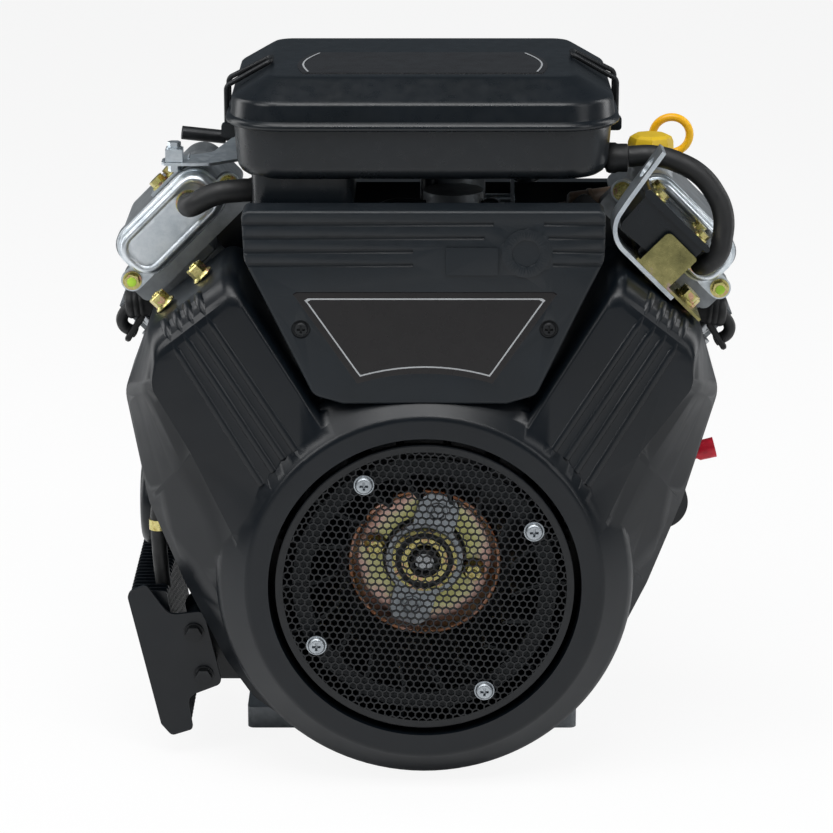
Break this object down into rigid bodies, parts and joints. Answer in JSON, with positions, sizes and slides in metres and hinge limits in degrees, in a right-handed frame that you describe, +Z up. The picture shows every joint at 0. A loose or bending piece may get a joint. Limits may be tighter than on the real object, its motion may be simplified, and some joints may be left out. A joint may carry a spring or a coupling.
{
  "type": "small gasoline engine",
  "caption": "Air-cooled V-twin gasoline engine with round rotating intake screen, blower housing, top air cleaner, side oil cooler and horizontal keyed drive shaft.",
  "frame": {"origin": "on the crankshaft's axis, at the drive end's mounting face", "axes": "+Y along the crankshaft out of the drive end, +X to the right seen from the flywheel end, +Z up"},
  "size_m": [0.4556, 0.3476, 0.5016],
  "materials": {
    "cast_aluminium": "cast",
    "zinc_plate": "zinc plated",
    "yellow_zinc": "yellow chromate",
    "forged_steel": "machined",
    "cast_iron": "machined",
    "black_housing": "satin powder coat",
    "black_plastic": "fine grain",
    "black_paint": "gloss enamel",
    "screen_plastic": "moulded",
    "plate_film": "film",
    "rubber": "moulded",
    "red_rubber": "moulded",
    "yellow_plastic": "moulded",
    "filter_paper": "pleated",
    "graphite": "pressed"
  },
  "bodies": {
    "engine": {"air_cleaner_base": "black_plastic", "air_cleaner_cover": "black_plastic", "backplate": "black_paint", "bearings": "forged_steel", "blower_housing": "black_housing", "bracket_bolts": "yellow_zinc", "breather_hose": "rubber", "cable_clamp": "zinc_plate", "carburetor": "cast_aluminium", "control_bracket": "zinc_plate", "cooler_bolts": "black_paint", "cooler_bracket": "black_paint", "cover_bolts": "yellow_zinc", "crankcase": "cast_aluminium", "crankcase_cover": "cast_aluminium", "cylinder_head_left": "cast_aluminium", "cylinder_head_right": "cast_aluminium", "cylinder_left": "cast_aluminium", "cylinder_right": "cast_aluminium", "dipstick_tube": "black_paint", "filter_element": "filter_paper", "front_panel": "black_plastic", "fuel_pump": "black_plastic", "head_gaskets": "graphite", "hose_clamps": "yellow_zinc", "intake_manifold": "cast_aluminium", "lifting_strap": "zinc_plate", "oil_cooler": "black_paint", "oil_filter": "black_paint", "panel_plate": "plate_film", "panel_screws": "zinc_plate", "plug_boots": "rubber", "pump_bolts": "yellow_zinc", "pump_bracket": "yellow_zinc", "rocker_cover_bolts": "yellow_zinc", "rocker_cover_left": "zinc_plate", "rocker_cover_right": "zinc_plate", "spark_plugs": "zinc_plate", "starter_motor": "black_paint", "terminal_boot": "red_rubber", "vent_hose": "rubber"},
    "crank": {"crankshaft": "forged_steel", "crank_gear": "forged_steel", "flywheel": "cast_iron", "ring_gear": "forged_steel", "starter_cup": "yellow_zinc", "cooling_fan": "screen_plastic", "rotating_screen": "screen_plastic", "screen_screws": "zinc_plate", "hub_plate": "zinc_plate", "flywheel_nut": "yellow_zinc"},
    "cam": {"camshaft": "forged_steel"},
    "piston_left": {"piston_left": "cast_aluminium"},
    "piston_right": {"piston_right": "cast_aluminium"},
    "latch_left": {"latch_left": "zinc_plate"},
    "latch_right": {"latch_right": "zinc_plate"},
    "throttle": {"throttle_lever": "yellow_zinc"},
    "choke": {"choke_lever": "rubber"},
    "filler_cap": {"oil_filler_cap": "yellow_plastic"},
    "dipstick": {"dipstick": "yellow_plastic"}
  },
  "joints": [
    {"name": "crank_spin", "type": "hinge", "parent": "engine", "child": "crank", "pos_m": [0, 0, 0], "axis": [0, 1, 0], "continuous": true},
    {"name": "cam_spin", "type": "hinge", "parent": "engine", "child": "cam", "pos_m": [0, 0, 0.075], "axis": [0, 1, 0], "continuous": true},
    {"name": "piston_left_slide", "type": "slide", "parent": "engine", "child": "piston_left", "axis": [-0.7071, 0, 0.7071], "range_m": [0, 0.07]},
    {"name": "piston_right_slide", "type": "slide", "parent": "engine", "child": "piston_right", "axis": [0.7071, 0, 0.7071], "range_m": [0, 0.07]},
    {"name": "latch_left_swing", "type": "hinge", "parent": "engine", "child": "latch_left", "pos_m": [-0.1365, -0.158, 0.306], "axis": [0, 1, 0], "range_deg": [-100, 0]},
    {"name": "latch_right_swing", "type": "hinge", "parent": "engine", "child": "latch_right", "pos_m": [0.1335, -0.133, 0.306], "axis": [0, 1, 0], "range_deg": [0, 100]},
    {"name": "throttle_turn", "type": "hinge", "parent": "engine", "child": "throttle", "pos_m": [0.02, -0.128, 0.246], "axis": [1, 0, 0], "range_deg": [0, 75]},
    {"name": "choke_swing", "type": "hinge", "parent": "engine", "child": "choke", "pos_m": [-0.112, -0.03, 0.2725], "axis": [0, 0, 1], "range_deg": [-30, 8]},
    {"name": "filler_cap_turn", "type": "hinge", "parent": "engine", "child": "filler_cap", "pos_m": [0.1586, -0.14, 0.278], "axis": [0, 0, 1], "continuous": true},
    {"name": "dipstick_pull", "type": "slide", "parent": "engine", "child": "dipstick", "axis": [0.4123, 0, 0.911], "range_m": [0, 0.23]}
  ],
  "couplings": [
    {"joint": "cam_spin", "follows": "crank_spin", "ratio": -0.5}
  ]
}
